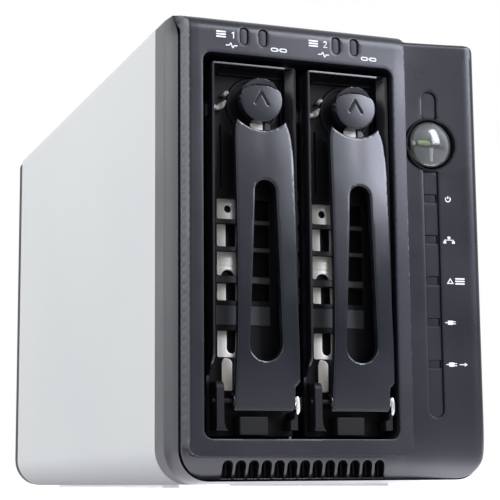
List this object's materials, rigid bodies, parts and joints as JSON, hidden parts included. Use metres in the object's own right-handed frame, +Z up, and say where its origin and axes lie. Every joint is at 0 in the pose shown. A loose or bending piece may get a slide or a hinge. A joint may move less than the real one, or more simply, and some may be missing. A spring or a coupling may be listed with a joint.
{
  "type": "network attached storage",
  "caption": "Upright desktop storage box in a silver wrap casing with a black front: slide-out drive trays with lever handles, status lights and a domed power button.",
  "frame": {"origin": "middle of the footprint at the bottom of the rubber foot strips", "axes": "+Z up, -Y out of the front with the drive trays, +X to the viewer's right when facing the front"},
  "size_m": [0.11, 0.239, 0.151],
  "materials": {
    "silver_coating": "fine satin silver coating on sheet metal",
    "black_plastic": "satin moulded plastic with a fine spark texture",
    "gloss_black": "polished moulded plastic",
    "galvanised_steel": "plain zinc-plated sheet steel",
    "bright_bracket": "bright nickel-plated sheet",
    "cast_aluminium": "fine cast aluminium",
    "circuit_board": "green solder mask on glass-fibre board",
    "black_rubber": "matt black rubber",
    "clear_plastic": "clear polished plastic",
    "green_core": "translucent green moulded plastic",
    "smoked_lens": "smoked translucent light guide"
  },
  "bodies": {
    "casing": {"backplane_board": "circuit_board", "bay_light_pipe": "smoked_lens", "dc_jack": "gloss_black", "drive_cage": "galvanised_steel", "drive_socket_a": "gloss_black", "drive_socket_b": "gloss_black", "esata_port": "galvanised_steel", "fan_frame": "black_plastic", "fan_guard": "galvanised_steel", "fan_screw_1": "galvanised_steel", "fan_screw_2": "galvanised_steel", "fan_screw_3": "galvanised_steel", "fan_screw_4": "galvanised_steel", "foot_strip_left": "black_rubber", "foot_strip_right": "black_rubber", "front_bezel": "black_plastic", "front_frame": "black_plastic", "heat_sink": "cast_aluminium", "light_board": "circuit_board", "main_board": "circuit_board", "network_port": "galvanised_steel", "outer_shell": "silver_coating", "panel_screw_1": "galvanised_steel", "panel_screw_2": "galvanised_steel", "power_button_ring": "gloss_black", "rear_frame": "black_plastic", "rear_panel": "galvanised_steel", "status_light_pipe": "smoked_lens", "status_strip": "black_plastic", "usb_port": "galvanised_steel"},
    "tray_a": {"tray_a": "black_plastic", "tray_bracket_a": "bright_bracket", "latch_spring_a": "bright_bracket", "hinge_pin_a": "galvanised_steel", "hinge_spring_a": "galvanised_steel", "hard_drive_a": "cast_aluminium", "drive_board_a": "circuit_board", "drive_screw_a1": "galvanised_steel", "drive_screw_a2": "galvanised_steel"},
    "handle_a": {"handle_a": "gloss_black"},
    "eject_button_a": {"eject_button_a": "gloss_black", "eject_latch_a": "galvanised_steel"},
    "tray_b": {"tray_b": "black_plastic", "tray_bracket_b": "bright_bracket", "latch_spring_b": "bright_bracket", "hinge_pin_b": "galvanised_steel", "hinge_spring_b": "galvanised_steel", "hard_drive_b": "cast_aluminium", "drive_board_b": "circuit_board", "drive_screw_b1": "galvanised_steel", "drive_screw_b2": "galvanised_steel"},
    "handle_b": {"handle_b": "gloss_black"},
    "eject_button_b": {"eject_button_b": "gloss_black", "eject_latch_b": "galvanised_steel"},
    "power_button": {"power_button": "clear_plastic", "power_button_core": "green_core"},
    "fan_rotor": {"fan_rotor": "black_plastic"},
    "reset_button": {"reset_button": "black_plastic"}
  },
  "joints": [
    {"name": "tray_a_slide", "type": "slide", "parent": "casing", "child": "tray_a", "axis": [0, -1, 0], "range_m": [0, 0.165]},
    {"name": "handle_a_hinge", "type": "hinge", "parent": "tray_a", "child": "handle_a", "pos_m": [-0.0269, -0.1158, 0.027], "axis": [1, 0, 0], "range_deg": [0, 80]},
    {"name": "eject_button_a_press", "type": "slide", "parent": "tray_a", "child": "eject_button_a", "axis": [0, 1, 0], "range_m": [0, 0.0018], "stiffness_N_per_m": 400, "springref_m": -0.001},
    {"name": "tray_b_slide", "type": "slide", "parent": "casing", "child": "tray_b", "axis": [0, -1, 0], "range_m": [0, 0.165]},
    {"name": "handle_b_hinge", "type": "hinge", "parent": "tray_b", "child": "handle_b", "pos_m": [0.0064, -0.1158, 0.027], "axis": [1, 0, 0], "range_deg": [0, 80]},
    {"name": "eject_button_b_press", "type": "slide", "parent": "tray_b", "child": "eject_button_b", "axis": [0, 1, 0], "range_m": [0, 0.0018], "stiffness_N_per_m": 400, "springref_m": -0.001},
    {"name": "power_button_press", "type": "slide", "parent": "casing", "child": "power_button", "axis": [0, 1, 0], "range_m": [0, 0.0015], "stiffness_N_per_m": 500, "springref_m": -0.001},
    {"name": "fan_spin", "type": "hinge", "parent": "casing", "child": "fan_rotor", "pos_m": [-0.0105, 0.1085, 0.096], "axis": [0, 1, 0], "continuous": true},
    {"name": "reset_button_press", "type": "slide", "parent": "casing", "child": "reset_button", "axis": [0, -1, 0], "range_m": [0, 0.001], "stiffness_N_per_m": 300, "springref_m": -0.0008}
  ]
}
